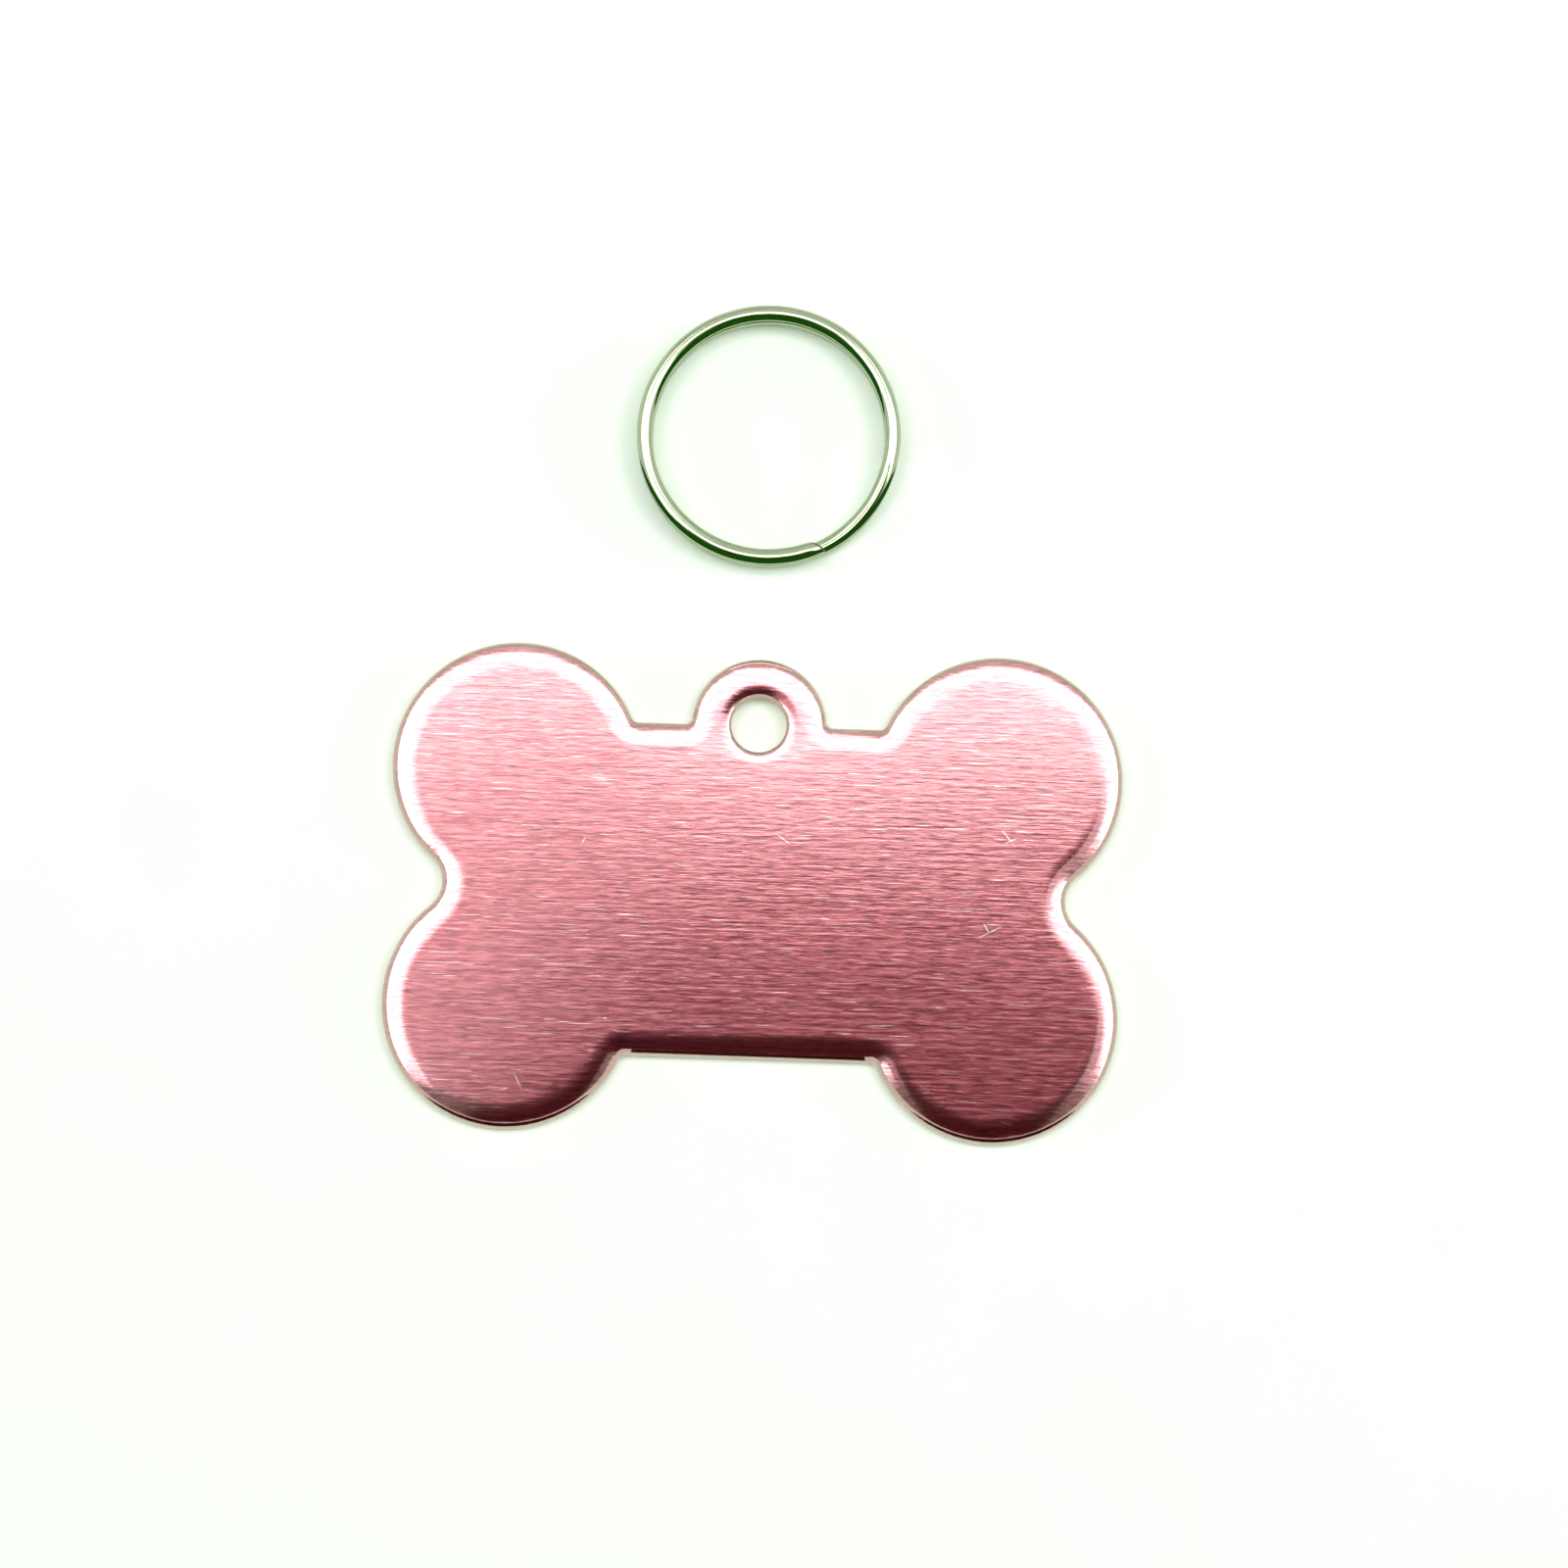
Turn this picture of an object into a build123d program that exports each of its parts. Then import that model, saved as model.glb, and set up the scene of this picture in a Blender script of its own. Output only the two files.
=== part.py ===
"""Bone-shaped pet identity tag of anodised aluminium sheet, with its loose steel split ring.

Both pieces lie flat on a table, as they come out of the packet: the ring isn't threaded yet.
Millimetres. +Z up from the table, +X to the right, +Y from the bone towards its hanging ear.
The origin is on the axis of the hanging hole, in the plane of the tag's back.
"""

from build123d import *
from build123d.topology import SkipClean
import os
from math import ceil, cos, degrees, radians, sin, sqrt, tan

# Tag outline
tag_width = 39.0  # over the four lobes
tag_height = 26.0  # over the four lobes, without the ear
body_height = 17.8  # between the two straight edges
lobe_radius = 6.65
waist_radius = 1.7  # hollow between the two lobes of one end
corner_radius = 0.4  # hollow where a lobe or the ear runs into a straight edge
ear_radius = 3.6
hole_diameter = 3.0

# Tag section
sheet_thickness = 1.0
rim_width = 1.4  # pressed border, from the flat face out to the outline
rim_drop = 0.12  # fall of the border before its edge is rounded over
edge_width = 0.35  # rounded-over edge, the outer part of the border
edge_land = 0.45  # height of the upright edge under the rounding
edge_sides = 4  # narrow flats that stand for the rounding
back_bevel = 0.1  # broken edge round the back
hole_rim_width = 0.65  # border pressed round the hole
hole_rim_drop = 0.09

# Split ring
ring_diameter = 14.2  # outside
wire_diameter = 0.85
wire_sides = 16  # narrow flats that stand for the wire's round section
turn_clearance = 0.05  # between the two turns
jog_length = 3.2  # run in which the wire steps from one turn to the other
end_gap = 0.15  # between a wire end and the step beside it
end_slant = 32.0  # slant of the cut ends, degrees
ring_gap_angle = -62.0  # where the upper turn ends, degrees from +X
ring_spacing = 5.0  # between the ear and the ring, as they lie

cut_overrun = 0.1  # how far a cutting shape stands out past what it cuts

# Driven sizes
bone_middle = -body_height / 2  # the hole sits on the line of the upper straight edge
lobe_x = tag_width / 2 - lobe_radius
lobe_y = tag_height / 2 - lobe_radius
hole_radius = hole_diameter / 2
wire_radius = wire_diameter / 2
turn_radius = ring_diameter / 2 - wire_radius
lower_level = wire_radius
upper_level = lower_level + wire_diameter + turn_clearance
jog_angle = degrees(jog_length / turn_radius)
end_gap_angle = degrees(end_gap / turn_radius)
turn_span = 360 - jog_angle - end_gap_angle
ring_middle = ear_radius + ring_spacing + ring_diameter / 2


def bone_outline():
    """Outline of the tag: a bar with four lobes and an ear, every hollow corner rounded."""
    bone = Rectangle(2 * lobe_x, body_height)
    for side in (-1, 1):
        for end in (-1, 1):
            bone += Pos(side * lobe_x, end * lobe_y) * Circle(lobe_radius)
    bone = Pos(0, bone_middle) * bone + Circle(ear_radius)
    corners = [v for v in bone.vertices() if abs(v.Y - bone_middle) > body_height / 4]
    bone = fillet(corners, corner_radius)
    waists = [v for v in bone.vertices() if abs(v.Y - bone_middle) < body_height / 4]
    return fillet(waists, waist_radius)


def pressed_rim_cutter(outline):
    """What the press takes off round the front: a gently falling border with a rounded-over edge."""
    path = outline.face().outer_wire()
    crease = (-edge_width, sheet_thickness - rim_drop)
    flat_end = (-rim_width, sheet_thickness)
    border = TangentArc(flat_end, crease, tangent=(1, 0))
    rounding = TangentArc(crease, (0, edge_land), tangent=border % 1)
    edge = Polyline([rounding @ (count / edge_sides) for count in range(edge_sides + 1)])
    top = sheet_thickness + cut_overrun
    out = cut_overrun
    outside = Polyline((0, edge_land), (out, edge_land), (out, top), (-rim_width, top), flat_end)
    profile = make_face([border, edge, outside])
    along = path % 0
    outward = along.cross(Vector(0, 0, 1))
    seat = Plane(origin=path @ 0, x_dir=outward, z_dir=-along)
    return sweep(seat * profile, path=path)


def hanging_hole_cutter():
    """Punched hole with the border that the press rounds over on its front."""
    wall_top = sheet_thickness - hole_rim_drop
    mouth = (hole_radius + hole_rim_width, sheet_thickness)
    rim = TangentArc(mouth, (hole_radius, wall_top), tangent=(-1, 0))
    top = sheet_thickness + cut_overrun
    under = -cut_overrun
    bore = Polyline(mouth, (mouth[0], top), (0, top), (0, under), (hole_radius, under), rim @ 1)
    return revolve(Plane.XZ * make_face([rim, bore]), Axis.Z)


def make_tag_plate():
    """Sheet blank with its pressed front and the broken edge of its back."""
    outline = bone_outline()
    plate = extrude(outline, sheet_thickness)
    plate = chamfer(plate.faces().sort_by(Axis.Z)[0].edges(), back_bevel)
    plate -= pressed_rim_cutter(outline)
    plate -= hanging_hole_cutter()
    back_hole = plate.faces().sort_by(Axis.Z)[0].inner_wires()[0]
    return chamfer(back_hole.edges(), back_bevel)


def on_turn(angle, level):
    """Point on the middle of the wire."""
    return Vector(turn_radius * cos(radians(angle)), turn_radius * sin(radians(angle)), level)


def clockwise(angle):
    """Direction of the wire as it winds clockwise, seen from above."""
    return Vector(sin(radians(angle)), -cos(radians(angle)), 0)


def flat_turn(start_angle, level):
    """One turn of the wire, less the step, as equal arcs of up to a quarter turn."""
    count = ceil(turn_span / 90)
    step = turn_span / count
    arcs = []
    for index in range(count):
        first = start_angle - index * step
        points = [on_turn(first - share * step, level) for share in (0, 1 / 2, 1)]
        arcs.append(ThreePointArc(*points))
    return arcs


def jog(start_angle):
    """Step down from the upper turn to the lower one: two arcs that meet halfway."""
    start = on_turn(start_angle, upper_level)
    finish = on_turn(start_angle - jog_angle, lower_level)
    start_way = clockwise(start_angle)
    finish_way = clockwise(start_angle - jog_angle)
    chord = finish - start
    bend = 2 * (1 - start_way.dot(finish_way))
    run = chord.dot(start_way + finish_way)
    reach = (sqrt(run**2 + bend * chord.dot(chord)) - run) / bend
    leaving = start + start_way * reach
    arriving = finish - finish_way * reach
    middle = (leaving + arriving) / 2
    return [
        TangentArc(start, middle, tangent=start_way),
        TangentArc(middle, finish, tangent=arriving - leaving),
    ]


def slant_cutter(angle, level, facing):
    """Wedge that cuts a wire end on the slant, shorter on the inside of the ring."""
    side = wire_radius + cut_overrun
    depth = 2 * side * tan(radians(end_slant))
    wedge = Polyline((-side, cut_overrun), (side, cut_overrun), (side, cut_overrun - depth), close=True)
    seat = Plane(origin=on_turn(angle, level), x_dir=-on_turn(angle, 0), z_dir=(0, 0, facing))
    return extrude(seat * make_face(wedge), wire_radius + turn_clearance / 2, both=True)


def make_split_ring():
    """Two turns of round wire, one on the other, with a step between their ends."""
    upper_end = ring_gap_angle
    jog_start = upper_end - turn_span
    lower_start = jog_start - jog_angle
    lower_end = lower_start - turn_span
    path = Wire(flat_turn(upper_end, upper_level) + jog(jog_start) + flat_turn(lower_start, lower_level))
    seat = Plane(origin=path @ 0, z_dir=path % 0)
    with SkipClean():
        ring = sweep(seat * RegularPolygon(wire_radius, wire_sides), path=path, clean=False)
        ring -= slant_cutter(upper_end, upper_level, -1)
        ring -= slant_cutter(lower_end, lower_level, 1)
    return Pos(0, ring_middle) * ring


os.makedirs("parts", exist_ok=True)
export_step(make_tag_plate(), "parts/tag_plate.step")
export_step(make_split_ring(), "parts/split_ring.step")
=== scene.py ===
"""Looks of the bone-shaped pet identity tag and of its split ring, lying on a white table.

Metres, in the frame of the solids: +Z up from the table, +Y from the bone towards its hanging ear,
and the origin on the axis of the hanging hole, in the plane of the tag's back.
"""

from math import ceil, cos, pi, radians, sin, sqrt, tan

import bmesh
import bpy
from mathutils import Matrix, Vector


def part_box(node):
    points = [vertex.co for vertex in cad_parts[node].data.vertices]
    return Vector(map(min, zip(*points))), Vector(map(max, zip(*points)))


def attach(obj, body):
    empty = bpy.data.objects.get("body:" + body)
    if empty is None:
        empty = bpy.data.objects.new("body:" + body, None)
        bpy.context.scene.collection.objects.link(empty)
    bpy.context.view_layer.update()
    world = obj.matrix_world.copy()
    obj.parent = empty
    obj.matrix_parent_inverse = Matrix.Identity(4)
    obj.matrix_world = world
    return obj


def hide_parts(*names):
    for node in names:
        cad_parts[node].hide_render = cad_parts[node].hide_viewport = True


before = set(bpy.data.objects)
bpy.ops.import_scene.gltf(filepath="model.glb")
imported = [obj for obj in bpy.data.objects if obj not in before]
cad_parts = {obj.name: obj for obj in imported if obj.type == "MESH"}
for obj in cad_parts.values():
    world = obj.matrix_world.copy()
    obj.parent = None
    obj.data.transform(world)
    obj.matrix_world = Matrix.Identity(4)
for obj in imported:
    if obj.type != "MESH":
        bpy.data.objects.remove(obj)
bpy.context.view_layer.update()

mm = 0.001

# Camera
camera_distance = 195 * mm
camera_field = radians(24.15)
camera_tilt = radians(7)
camera_roll = radians(1.87)
camera_aim = Vector((1.44, -3.15, 1.0)) * mm
camera_near = 5 * mm

# Split ring
wire_diameter = 0.85 * mm
turn_clearance = 0.05 * mm
jog_length = 6.0 * mm
end_gap = 0.15 * mm
end_slant = radians(32)
end_bevel = 0.1 * mm
ring_gap_angle = radians(-62)
ring_step = radians(2)
wire_sides = 32

# Tag: its lower outline, and how its mesh is smoothed
lobe_radius = 6.65 * mm
lower_edge_rise = 4.1 * mm
lower_edge_half = 6.2 * mm
weld_distance = 0.001 * mm
flat_face_weight = 100

# Slopes of the sheet, from where a change of finish starts to where it is full
pressed_slopes = (radians(1.5), radians(6))
bare_slopes = (radians(11), radians(28))

# Brushed lines of the tag, and glints painted on as highlights: length, thickness and detail of each kind,
# and the shares of noise that count
streak_roughness = 0.6
hairs = (6.0 * mm, 0.2 * mm, 3.0)
grain = (0.9 * mm, 0.16 * mm, 2.0)
hair_share = 0.5
grain_share = 0.5
painted_glints = (1.5 * mm, 0.06 * mm, 0.0)
painted_glint_shares = (0.75, 0.82)
nicks = (1.1 * mm, 0.065 * mm, 0.0)
nick_shares = (0.33, 0.25)
brush_strength = 1.0
brush_depth = 0.008 * mm

# Colours and gloss of the tag, with the pale colour of the painted glints (painted highlights)
dye_shares = (0.4, 0.6)
dye_dark = (0.4, 0.065, 0.08, 1)
dye_pale = (0.68, 0.2, 0.23, 1)
bare_shares = (0.3, 0.7)
bare_dark = (0.34, 0.19, 0.13, 1)
bare_pale = (0.58, 0.36, 0.27, 1)
nick_colour = (0.2, 0.03, 0.045, 1)
# Pale streaks painted into the colour as glints: a painted highlight
painted_glint_colour = (0.88, 0.66, 0.64, 1)
scratch_colour = (0.9, 0.74, 0.7, 1)
tag_roughness = (0.12, 0.2)
pressed_gloss = -0.06
tag_anisotropy = 0.8
coat_roughness = 0.13
coat_index = 2.4

# Scratches on the front of the tag, in millimetres: place across and along, length, and turn in degrees
scratch_width = 0.09 * mm
scratch_shares = (1.0, 0.3)
scratches = [
    (-9.1, -6.5, 0.5, 60),
    (1.5, -6.1, 1.2, -35),
    (13.4, -5.6, 1.3, -50),
    (13.6, -5.8, 0.9, 25),
    (12.6, -10.7, 2.0, 28),
    (12.4, -10.5, 0.8, -60),
    (-7.6, -15.9, 0.3, 0),
    (-12.1, -19.3, 1.2, -62),
    (-12.8, -19.8, 0.6, 15),
    (13.8, -20.8, 1.0, -20),
]

# Drawn lines, colours and gloss of the wire: the lines in millimetres along it and in shares round it
drawn_lines = (1.5, 0.03, 3.0)
nickel_shares = (0.3, 0.7)
nickel_dark = (0.34, 0.41, 0.26, 1)
nickel_pale = (0.46, 0.53, 0.36, 1)
nickel_roughness = (0.05, 0.14)
drawn_strength = 0.2
drawn_depth = 0.01 * mm
# Cut ends: dull bare steel, darkened further with painted shade
shaded_cut_colour = (0.15, 0.12, 0.06, 1)
cut_dullness = 0.4
cut_fade_share = 1.1

# Table: white under the object with a faint green glow, plain white from a distance on
table_drop = 0.01 * mm
table_size = 4.0
table_near = 0.07
table_far = 0.25
table_grain_scale = 400.0
table_grain_detail = 3.0
table_grain_shares = (0.0, 1.0)
table_dark = (0.93, 0.96, 0.92, 1)
table_pale = (0.97, 1.0, 0.96, 1)
near_glow = (0.1, 0.17, 0.094, 1)
far_glow = (0.75, 0.75, 0.75, 1)

# Lamps, in studio heights: middle, size, and turn about Y in degrees
studio_height = 0.5
panel_radiance = 3.1
fill_level = 0.12
panels = [
    ("back_panel", (0.0, 0.22, 1), (1.8, 0.5), 0),
    ("left_panel", (-0.48, 0.05, 1), (0.24, 0.6), 0),
    ("right_panel", (0.76, 0.05, 1), (0.48, 0.7), 0),
    ("left_window", (-1.6, 0.0, 0.4), (0.6, 1.2), -90),
    ("right_window", (1.6, 0.0, 0.4), (0.6, 1.2), 90),
]

# Outlines of the ceiling's cards, seen from above, in studio heights
ceiling_back = [(1.4, 0.64), (-1.0, 0.64)]
bright_left = [(-1.0, -0.55), (-0.31, -0.2), (-0.27, -0.02), (-0.24, 0.068), (-0.16, 0.128), (-0.1, 0.148)]
bright_middle = [(-0.06, 0.133), (-0.03, 0.114), (0.0, 0.107), (0.05, 0.12)]
bright_right = [(0.3, 0.105), (0.38, 0.085), (0.45, -0.1), (1.4, -0.6)]
core_left = [(-1.0, -0.55), (-0.36, -0.2), (-0.33, 0.0), (-0.3, 0.1), (-0.22, 0.19)]
core_right = [(0.3, 0.19), (0.42, 0.1), (0.5, -0.1), (1.4, -0.6)]
dim_right = [(-0.18, -0.14), (-0.1, 0.015), (-0.06, 0.055), (-0.03, 0.11)]
dim_left = [(-0.1, 0.15), (-0.2, 0.12), (-0.26, 0.06), (-0.29, -0.02), (-0.33, -0.2)]
dark_outline = [(-0.4, -0.75), (-0.17, -0.2), (-0.2, 0.3), (0.3, 0.3), (0.25, -0.15), (0.5, -0.75)]
dusk_outline = [(-0.95, -0.75), (-0.2, -0.1), (0.3, -0.1), (1.0, -0.65), (1.0, -0.75)]

# Ceiling cards: outline, height in studio heights, colour and strength
white = (1, 1, 1)
bright_strength = 3.2
ceiling_cards = [
    ("bright_ceiling", bright_left + bright_middle + bright_right + ceiling_back, 1, white, bright_strength),
    ("ceiling_core", core_left + core_right + ceiling_back, 0.99, white, 4.1),
    ("dim_ceiling", dim_right + dim_left, 1.02, (1, 0.84, 0.86), 1.0),
    ("dark_ceiling", dark_outline, 1.05, (0.075, 0.008, 0.012), 1.0),
    ("dusk_ceiling", dusk_outline, 1.1, (0.28, 0.3, 0.26), 1.0),
]

# Wall behind the table, in studio heights
wall_distance = 2.2
wall_height = 1.5
wall_colour = (0.8, 0.8, 0.75)

# Flags and strips close to the ring
flag_parts = 24
ring_flag_end = radians(10)
ring_flag_distance = 0.7 * mm
ring_flag_level = 0.75 * mm
ring_flag_height = 2.45 * mm
ring_flag_colour = (0.02, 0.12, 0.008)
glow_rise = 2.0 * mm
glow_ahead = 0.9 * mm
glow_behind = 0.4 * mm
pale_behind = 1.4 * mm
pale_colour = (0.8, 0.8, 0.8)

# Flags close to the tag's lower edge
edge_flag_distance = 0.45 * mm
edge_flag_level = 0.75 * mm
edge_flag_colour = (0.06, 0.012, 0.01)
lobe_flag_first = radians(-45)
lobe_flag_last = radians(-130)
lobe_flag_height = 0.95 * mm
lower_flag_height = 1.2 * mm

# Driven sizes
ring_low, ring_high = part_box("split_ring")
ring_middle = (ring_low + ring_high) / 2
wire_radius = wire_diameter / 2
turn_radius = (ring_high.x - ring_low.x) / 2 - wire_radius
lower_level = wire_radius
upper_level = lower_level + wire_diameter + turn_clearance
jog_angle = jog_length / turn_radius
turn_span = 2 * pi - jog_angle - end_gap / turn_radius
step_millimetres = ring_step * turn_radius / mm


def add_node(tree, kind, inputs=None, **settings):
    """Node with its settings made and its inputs set, or linked where a socket is given."""
    node = tree.nodes.new(kind)
    for name, value in settings.items():
        setattr(node, name, value)
    for name, value in (inputs or {}).items():
        if isinstance(value, bpy.types.NodeSocket):
            tree.links.new(value, node.inputs[name])
        else:
            node.inputs[name].default_value = value
    return node


def calculate(tree, operation, *values):
    """Result of a sum on numbers or sockets."""
    inputs = dict(enumerate(values))
    return add_node(tree, "ShaderNodeMath", inputs, operation=operation).outputs[0]


def spread(tree, value, low, high):
    """A pattern's 0 to 1 taken to a range of values."""
    inputs = {"Value": value, "To Min": low, "To Max": high}
    return add_node(tree, "ShaderNodeMapRange", inputs).outputs[0]


def past(tree, value, start, full):
    """0 up to a start value and 1 from a full one on."""
    inputs = {"Value": value, "From Min": start, "From Max": full}
    return add_node(tree, "ShaderNodeMapRange", inputs).outputs[0]


def mixed(tree, share, low, high):
    """Colour that goes from one to the other with a share."""
    return add_node(tree, "ShaderNodeMix", {0: share, 6: low, 7: high}, data_type="RGBA").outputs[2]


def two_colours(tree, pattern, shares, low, high):
    """Colour that goes from one to the other as a pattern goes from a first share to a last."""
    ramp = add_node(tree, "ShaderNodeValToRGB", {"Fac": pattern})
    for element, share, colour in zip(ramp.color_ramp.elements, shares, (low, high)):
        element.position = share
        element.color = colour
    return ramp.outputs[0]


def streaks(tree, place, length, thickness, detail):
    """Noise drawn out along X into lines of a given length and thickness."""
    scale = (1 / length, 1 / thickness, 1 / thickness)
    mapping = add_node(tree, "ShaderNodeMapping", {"Vector": place, "Scale": scale})
    inputs = {"Vector": mapping.outputs[0], "Scale": 1.0, "Detail": detail, "Roughness": streak_roughness}
    return add_node(tree, "ShaderNodeTexNoise", inputs).outputs["Fac"]


def new_material(name):
    """Empty node material with its tree."""
    material = bpy.data.materials.new(name)
    material.use_nodes = True
    material.node_tree.nodes.clear()
    return material, material.node_tree


def finish_material(tree, shader):
    """Shader joined to the material's surface."""
    add_node(tree, "ShaderNodeOutputMaterial", {"Surface": shader.outputs[0]})


def scratched_share(tree, place):
    """1 in the middle of each scratch, a narrow ellipse on the front of the tag, and 0 outside."""
    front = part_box("tag_plate")[1].z
    total = 0.0
    for across, along, length, turn in scratches:
        settings = {
            "Vector": place,
            "Location": (across * mm, along * mm, front),
            "Rotation": (0, 0, radians(turn)),
            "Scale": (length * mm / 2, scratch_width / 2, front / 2),
        }
        mapping = add_node(tree, "ShaderNodeMapping", settings, vector_type="TEXTURE")
        away = add_node(tree, "ShaderNodeVectorMath", {0: mapping.outputs[0]}, operation="LENGTH")
        total = calculate(tree, "MAXIMUM", total, past(tree, away.outputs["Value"], *scratch_shares))
    return total


def steep_share(tree, start, full):
    """0 on the faces, where the sheet lies level, and 1 where it stands steeper than a full slope."""
    normal = add_node(tree, "ShaderNodeTexCoord").outputs["Normal"]
    upright = add_node(tree, "ShaderNodeSeparateXYZ", {"Vector": normal}).outputs["Z"]
    return past(tree, calculate(tree, "ABSOLUTE", upright), cos(start), cos(full))


def tag_colour(tree, place, brushed):
    """Dyed lines with nicks, painted glints that stand for highlights, and scratches, and bare metal where
    the sheet was cut.
    """
    dye = two_colours(tree, brushed, dye_shares, dye_dark, dye_pale)
    bare = two_colours(tree, brushed, bare_shares, bare_dark, bare_pale)
    nicked = past(tree, streaks(tree, place, *nicks), *nick_shares)
    colour = mixed(tree, nicked, dye, nick_colour)
    # Painted highlight: short pale glint streaks mixed into the colour
    painted_glinting = past(tree, streaks(tree, place, *painted_glints), *painted_glint_shares)
    colour = mixed(tree, painted_glinting, colour, painted_glint_colour)
    colour = mixed(tree, scratched_share(tree, place), colour, scratch_colour)
    return mixed(tree, steep_share(tree, *bare_slopes), colour, bare)


def anodised_material():
    """Rose-pink anodised aluminium, brushed along the bone."""
    material, tree = new_material("anodised_rose")
    place = add_node(tree, "ShaderNodeTexCoord").outputs["Object"]
    brushed = calculate(tree, "MULTIPLY", streaks(tree, place, *hairs), hair_share)
    brushed = calculate(tree, "MULTIPLY_ADD", streaks(tree, place, *grain), grain_share, brushed)
    pressed = steep_share(tree, *pressed_slopes)
    roughness = spread(tree, brushed, *tag_roughness)
    roughness = calculate(tree, "MULTIPLY_ADD", pressed, pressed_gloss, roughness)
    lines = {"Height": brushed, "Strength": brush_strength, "Distance": brush_depth}
    bump = add_node(tree, "ShaderNodeBump", lines).outputs[0]
    settings = {
        "Base Color": tag_colour(tree, place, brushed),
        "Metallic": 1.0,
        "Roughness": roughness,
        "Anisotropic": tag_anisotropy,
        "Tangent": add_node(tree, "ShaderNodeCombineXYZ", {"Y": 1.0}).outputs[0],
        "Normal": bump,
        "Coat Weight": 1.0,
        "Coat Roughness": coat_roughness,
        "Coat IOR": coat_index,
        "Coat Normal": bump,
    }
    finish_material(tree, add_node(tree, "ShaderNodeBsdfPrincipled", settings))
    return material


def cut_share(tree, along, length):
    """1 on the bevelled cut ends of the wire, by the place along it, and 0 between them."""
    place = add_node(tree, "ShaderNodeSeparateXYZ", {"Vector": along}).outputs["X"]
    edge = step_millimetres * cut_fade_share
    first = past(tree, place, edge, step_millimetres)
    last = past(tree, place, length - edge, length - step_millimetres)
    return calculate(tree, "MAXIMUM", first, last)


def nickel_material(length):
    """Nickel-plated wire with the faint lines of its drawing, and dull cut ends darkened with painted shade.
    """
    material, tree = new_material("nickel_wire")
    along = add_node(tree, "ShaderNodeTexCoord").outputs["UV"]
    cut = cut_share(tree, along, length)
    lines = streaks(tree, along, *drawn_lines)
    colour = two_colours(tree, lines, nickel_shares, nickel_dark, nickel_pale)
    roughness = spread(tree, lines, *nickel_roughness)
    drawn = {"Height": lines, "Strength": drawn_strength, "Distance": drawn_depth}
    settings = {
        # Cut ends: dull steel colour with painted shade mixed in
        "Base Color": mixed(tree, cut, colour, shaded_cut_colour),
        "Metallic": 1.0,
        "Roughness": calculate(tree, "MULTIPLY_ADD", cut, cut_dullness, roughness),
        "Normal": add_node(tree, "ShaderNodeBump", drawn).outputs[0],
    }
    finish_material(tree, add_node(tree, "ShaderNodeBsdfPrincipled", settings))
    return material


def dress_tag():
    """The plate keeps its solid's shape: welded seams, smooth pressed borders and a brushed finish."""
    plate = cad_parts["tag_plate"]
    plate.data.materials.clear()
    plate.data.materials.append(anodised_material())
    plate.data.shade_smooth()
    weld = plate.modifiers.new("weld", "WELD")
    weld.merge_threshold = weld_distance
    normals = plate.modifiers.new("normals", "WEIGHTED_NORMAL")
    normals.mode = "FACE_AREA"
    normals.keep_sharp = True
    normals.weight = flat_face_weight


def wire_path():
    """Middles of the wire's sections: the upper turn, the step down and the lower turn."""
    runs = [(turn_span, upper_level, upper_level), (jog_angle, upper_level, lower_level)]
    runs.append((turn_span, lower_level, lower_level))
    points = []
    angle = ring_gap_angle
    for span, start, finish in runs:
        count = ceil(span / ring_step)
        for index in range(count):
            share = index / count
            drop = (1 - cos(pi * share)) / 2
            points.append((angle - span * share, start + (finish - start) * drop))
        angle -= span
    points.append((angle, lower_level))
    return points


def wire_section(angle, level, radius=wire_radius, slant=0.0, shift=0.0):
    """Round section of the wire, as points that may lean back towards the inside of the ring."""
    outward = Vector((cos(angle), sin(angle), 0))
    clockwise = Vector((sin(angle), -cos(angle), 0))
    middle = outward * turn_radius
    points = []
    for side in range(wire_sides):
        turn = 2 * pi * side / wire_sides
        out = radius * cos(turn)
        lean = slant * (wire_radius - out) + shift
        height = level + radius * sin(turn)
        points.append(middle + outward * out + clockwise * lean + Vector((0, 0, height)))
    return points


def wire_sections():
    """Sections along the whole wire, with a slanted and bevelled end at each of its ends."""
    lean = tan(end_slant)
    path = wire_path()
    spare = ceil(wire_diameter * lean / turn_radius / ring_step)
    trimmed = wire_radius - end_bevel
    sections = [wire_section(*path[0], trimmed, lean)]
    sections.append(wire_section(*path[0], wire_radius, lean, end_bevel))
    sections += [wire_section(*point) for point in path[spare + 1 : -spare - 1]]
    sections.append(wire_section(*path[-1], wire_radius, -lean, -end_bevel))
    sections.append(wire_section(*path[-1], trimmed, -lean))
    return sections


def wire_mesh(sections):
    """Closed skin over the sections, with the millimetres along the wire and the share round it as UV."""
    mesh = bmesh.new()
    along = mesh.loops.layers.uv.new("along_wire")
    rows = [[mesh.verts.new(point) for point in section] for section in sections]
    for row, next_row in zip(rows, rows[1:]):
        for side in range(wire_sides):
            after = (side + 1) % wire_sides
            face = mesh.faces.new((row[side], row[after], next_row[after], next_row[side]))
            face.smooth = True
    mesh.faces.new(rows[0])
    mesh.faces.new(reversed(rows[-1]))
    bmesh.ops.recalc_face_normals(mesh, faces=mesh.faces)
    place = {}
    for index, row in enumerate(rows):
        for side, corner in enumerate(row):
            place[corner] = (index * step_millimetres, side / wire_sides)
    for face in mesh.faces:
        for loop in face.loops:
            loop[along].uv = place[loop.vert]
    data = bpy.data.meshes.new("split_ring_wire")
    mesh.to_mesh(data)
    mesh.free()
    return data


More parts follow.
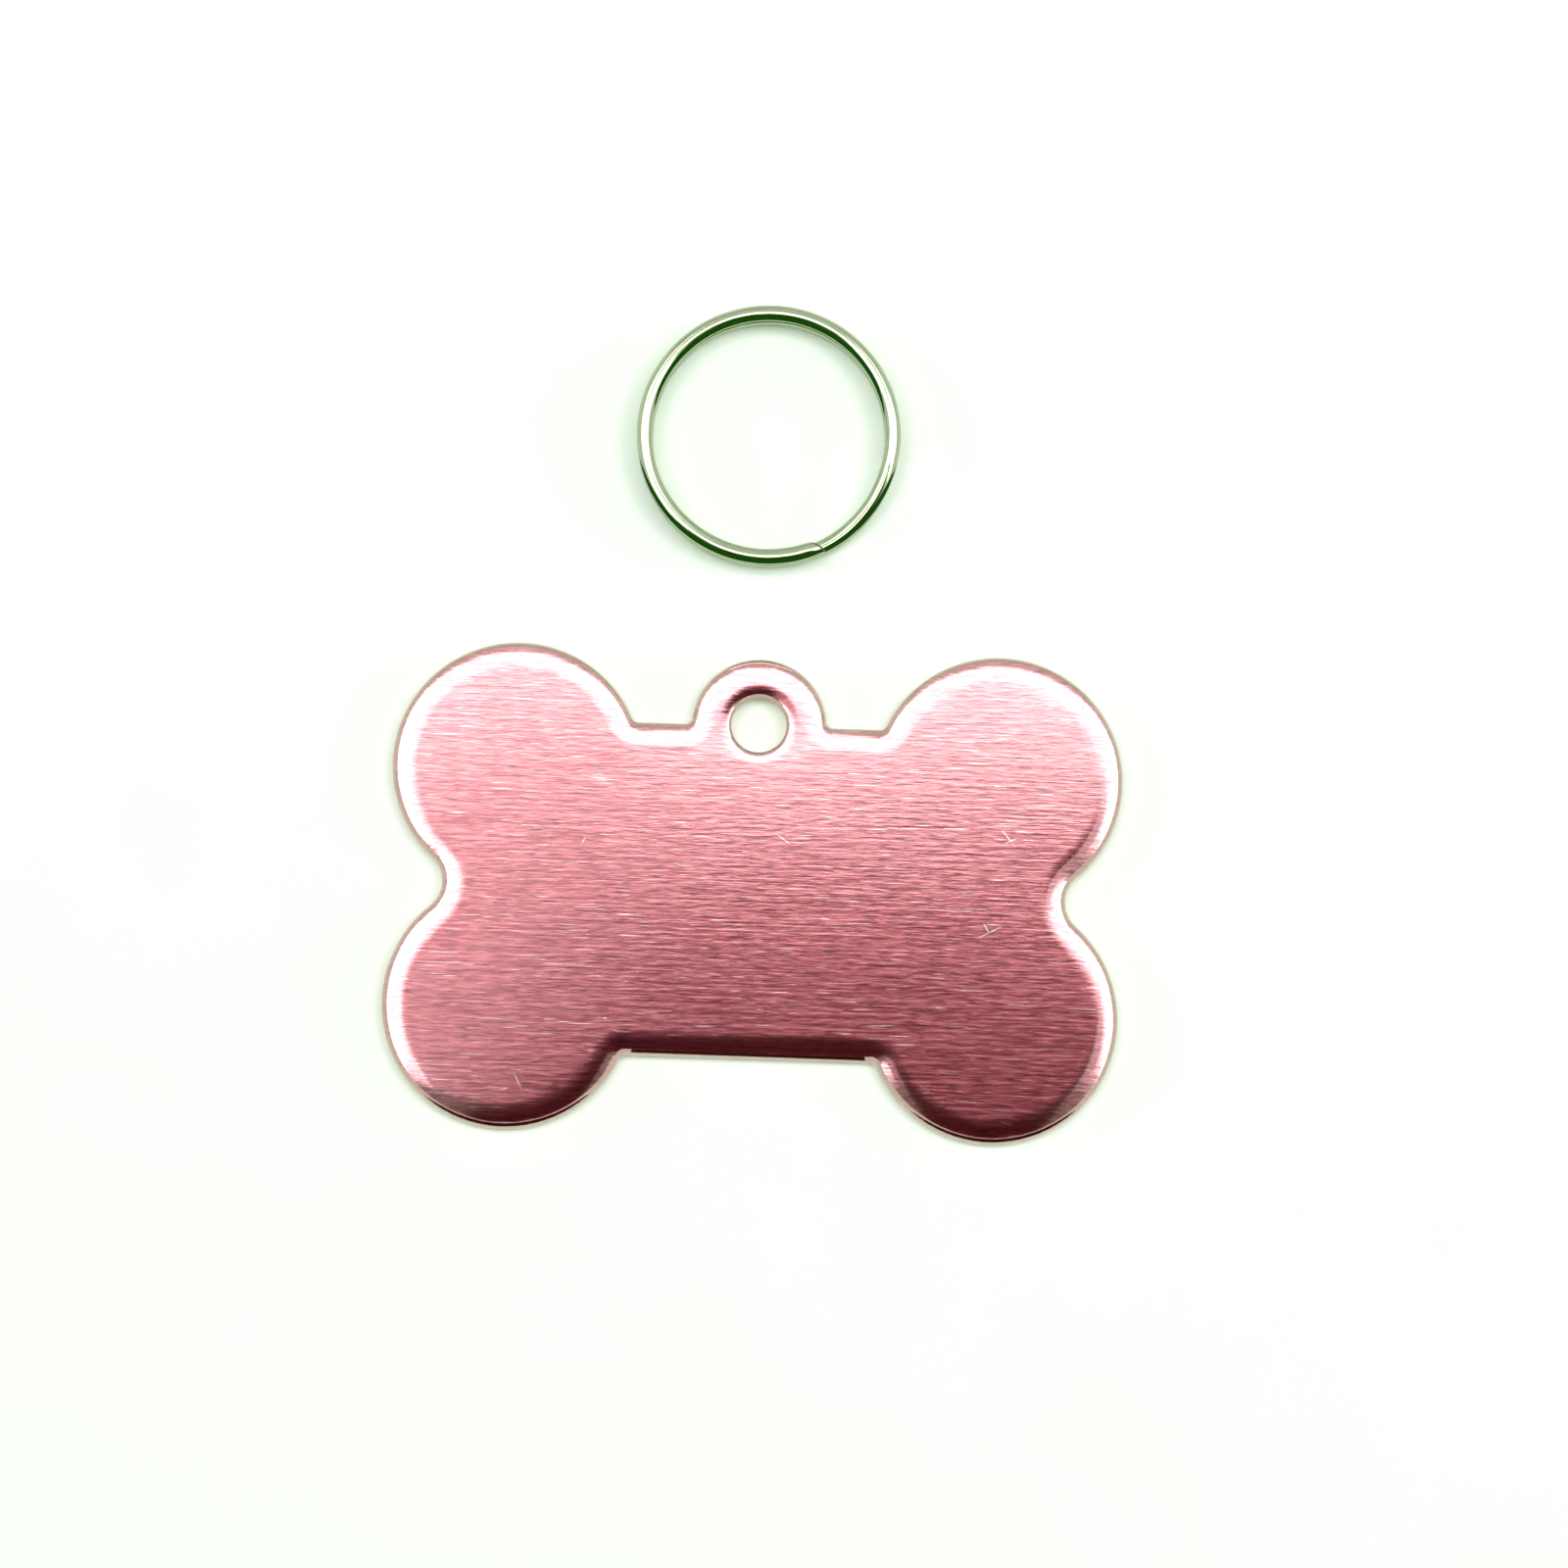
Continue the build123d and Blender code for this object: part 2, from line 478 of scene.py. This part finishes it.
def make_ring():
    """Two turns of round wire, one on the other, with slanted ends beside the step."""
    sections = wire_sections()
    data = wire_mesh(sections)
    data.materials.append(nickel_material((len(sections) - 1) * step_millimetres))
    ring = bpy.data.objects.new("split_ring_wire", data)
    ring.location = (ring_middle.x, ring_middle.y, 0)
    bpy.context.collection.objects.link(ring)
    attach(ring, "ring")
    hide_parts("split_ring")


def shown_share(tree):
    """1 for rays that the eye follows: straight, mirrored or through glass."""
    rays = add_node(tree, "ShaderNodeLightPath").outputs
    shown = calculate(tree, "MAXIMUM", rays["Is Camera Ray"], rays["Is Glossy Ray"])
    return calculate(tree, "MAXIMUM", shown, rays["Is Transmission Ray"])


def table_material():
    """Matt white that keeps a soft, faintly green shadow and goes to plain white away from the object."""
    material, tree = new_material("white_table")
    specks = add_node(tree, "ShaderNodeTexNoise", {"Scale": table_grain_scale, "Detail": table_grain_detail})
    paint = two_colours(tree, specks.outputs["Fac"], table_grain_shares, table_dark, table_pale)
    matt = add_node(tree, "ShaderNodeBsdfDiffuse", {"Color": paint})
    place = add_node(tree, "ShaderNodeTexCoord").outputs["Object"]
    away = add_node(tree, "ShaderNodeVectorMath", {0: place}, operation="LENGTH").outputs["Value"]
    haze = mixed(tree, past(tree, away, table_near, table_far), near_glow, far_glow)
    glow = add_node(tree, "ShaderNodeEmission", {"Color": haze, "Strength": shown_share(tree)})
    finish_material(tree, add_node(tree, "ShaderNodeAddShader", {0: matt.outputs[0], 1: glow.outputs[0]}))
    return material


def make_table():
    """Table top just under the object."""
    half = table_size / 2
    corners = [(-half, -half, 0), (half, -half, 0), (half, half, 0), (-half, half, 0)]
    data = bpy.data.meshes.new("table")
    data.from_pydata(corners, [], [range(len(corners))])
    data.materials.append(table_material())
    table = bpy.data.objects.new("table", data)
    table.location.z = -table_drop
    bpy.context.collection.objects.link(table)


def hang_card(name, data, material):
    """Card set in the studio so that it shows in mirrors only and casts no shadow."""
    data.materials.append(material)
    card = bpy.data.objects.new(name, data)
    card.visible_camera = False
    card.visible_diffuse = False
    card.visible_transmission = False
    card.visible_shadow = False
    bpy.context.collection.objects.link(card)


def make_card(name, corners, colour, strength=1.0):
    """Card that shows in polished metal, by its corners in studio heights."""
    material, tree = new_material(name)
    glow = add_node(tree, "ShaderNodeEmission", {"Color": (*colour, 1), "Strength": strength})
    finish_material(tree, glow)
    data = bpy.data.meshes.new(name)
    data.from_pydata([Vector(corner) * studio_height for corner in corners], [], [range(len(corners))])
    hang_card(name, data, material)


def make_strip(name, line, far_line, colour, strength=1.0):
    """Strip between two lines that shows in polished metal, and from one side only."""
    material, tree = new_material(name)
    glow = add_node(tree, "ShaderNodeEmission", {"Color": (*colour, 1), "Strength": strength})
    clear = add_node(tree, "ShaderNodeBsdfTransparent")
    behind = add_node(tree, "ShaderNodeNewGeometry").outputs["Backfacing"]
    sided = add_node(tree, "ShaderNodeMixShader", {0: behind, 1: glow.outputs[0], 2: clear.outputs[0]})
    finish_material(tree, sided)
    far = len(line)
    faces = [(index, index + 1, far + index + 1, far + index) for index in range(far - 1)]
    data = bpy.data.meshes.new(name)
    data.from_pydata(line + far_line, [], faces)
    hang_card(name, data, material)


def flag_shares():
    """Shares along a flag, each with the share of its size there: none at the ends, all in the middle."""
    shares = [index / flag_parts for index in range(flag_parts + 1)]
    return [(share, sqrt(sin(pi * share))) for share in shares]


def arc_line(middle, radius, first, last, swell=0.0):
    """Points along a level arc from one angle to another, which swells outwards towards its middle."""
    points = []
    for share, size in flag_shares():
        angle = first + (last - first) * share
        points.append(middle + Vector((cos(angle), sin(angle), 0)) * (radius + swell * size))
    return points


def make_flag(name, line, height, colour):
    """Upright strip, low at its ends, that shows on the right of its line."""
    top = [point + Vector((0, 0, height * size)) for point, (_, size) in zip(line, flag_shares())]
    make_strip(name, line, top, colour)


def make_ring_flags():
    """Dark flags in front of the wire, and strips over it that put its white line on its crest."""
    foot = Vector((ring_middle.x, ring_middle.y, ring_flag_level))
    over = Vector((ring_middle.x, ring_middle.y, ring_high.z + glow_rise))
    for name, ahead in (("back", -1), ("front", 1)):
        first = -ahead * ring_flag_end
        last = -ahead * (pi - ring_flag_end)
        reach = turn_radius + ahead * (wire_radius + ring_flag_distance)
        make_flag(name + "_flag", arc_line(foot, reach, first, last), ring_flag_height, ring_flag_colour)
        swells = (ahead * glow_ahead, -ahead * glow_behind, -ahead * pale_behind)
        lines = [arc_line(over, turn_radius, first, last, swell) for swell in swells]
        make_strip(name + "_glow", lines[0], lines[1], white, bright_strength)
        make_strip(name + "_pale", lines[1], lines[2], pale_colour)


def make_tag_flags():
    """Dark flags in front of the tag's lower edge: one round each lower lobe and one between them."""
    low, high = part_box("tag_plate")
    reach = lobe_radius + edge_flag_distance
    for name, across in (("left_flag", low.x + lobe_radius), ("right_flag", high.x - lobe_radius)):
        middle = Vector((across, low.y + lobe_radius, edge_flag_level))
        line = arc_line(middle, reach, lobe_flag_first, lobe_flag_last)
        make_flag(name, line, lobe_flag_height, edge_flag_colour)
    along = low.y + lower_edge_rise - edge_flag_distance
    foot = [Vector((across, along, edge_flag_level)) for across in (lower_edge_half, -lower_edge_half)]
    top = [point + Vector((0, 0, lower_flag_height)) for point in foot]
    make_strip("lower_flag", foot, top, edge_flag_colour)


def make_wall():
    """Grey wall behind the table."""
    corners = [(-wall_distance, wall_distance, 0), (wall_distance, wall_distance, 0)]
    corners += [(wall_distance, wall_distance, wall_height), (-wall_distance, wall_distance, wall_height)]
    make_card("grey_wall", corners, wall_colour)


def make_panel(name, middle, size, turn):
    """Soft lamp that hangs level over the table unless turned."""
    lamp = bpy.data.lights.new(name, "AREA")
    lamp.shape = "RECTANGLE"
    lamp.size = size[0] * studio_height
    lamp.size_y = size[1] * studio_height
    lamp.energy = pi * panel_radiance * lamp.size * lamp.size_y
    panel = bpy.data.objects.new(name, lamp)
    panel.location = Vector(middle) * studio_height
    panel.rotation_euler = (0, radians(turn), 0)
    panel.visible_camera = False
    panel.visible_glossy = False
    bpy.context.collection.objects.link(panel)


def make_world():
    """White room: plain white to the eye and in the metal, a low fill for the rest."""
    world = bpy.data.worlds.new("white_room")
    world.use_nodes = True
    bpy.context.scene.world = world
    tree = world.node_tree
    tree.nodes.clear()
    strength = spread(tree, shown_share(tree), fill_level, 1.0)
    room = add_node(tree, "ShaderNodeBackground", {"Color": (*white, 1), "Strength": strength})
    add_node(tree, "ShaderNodeOutputWorld", {"Surface": room.outputs[0]})
    world.cycles.sampling_method = "NONE"


def make_studio():
    """Table, white room and soft lamps, with the cards and flags that the metal mirrors."""
    make_table()
    make_world()
    for panel in panels:
        make_panel(*panel)
    for name, outline, level, colour, strength in ceiling_cards:
        make_card(name, [(x, y, level) for x, y in outline], colour, strength)
    make_ring_flags()
    make_tag_flags()
    make_wall()


def make_camera():
    """Camera almost overhead, a little in front of the tag and turned slightly."""
    lens = bpy.data.cameras.new("camera")
    lens.angle = camera_field
    lens.clip_start = camera_near
    camera = bpy.data.objects.new("camera", lens)
    turn = Matrix.Rotation(camera_roll, 4, "Z") @ Matrix.Rotation(camera_tilt, 4, "X")
    back = Matrix.Translation((0, 0, camera_distance))
    camera.matrix_world = Matrix.Translation(camera_aim) @ turn @ back
    bpy.context.collection.objects.link(camera)
    bpy.context.scene.camera = camera


make_camera()
dress_tag()
make_ring()
make_studio()
bpy.context.scene.view_settings.view_transform = "Standard"
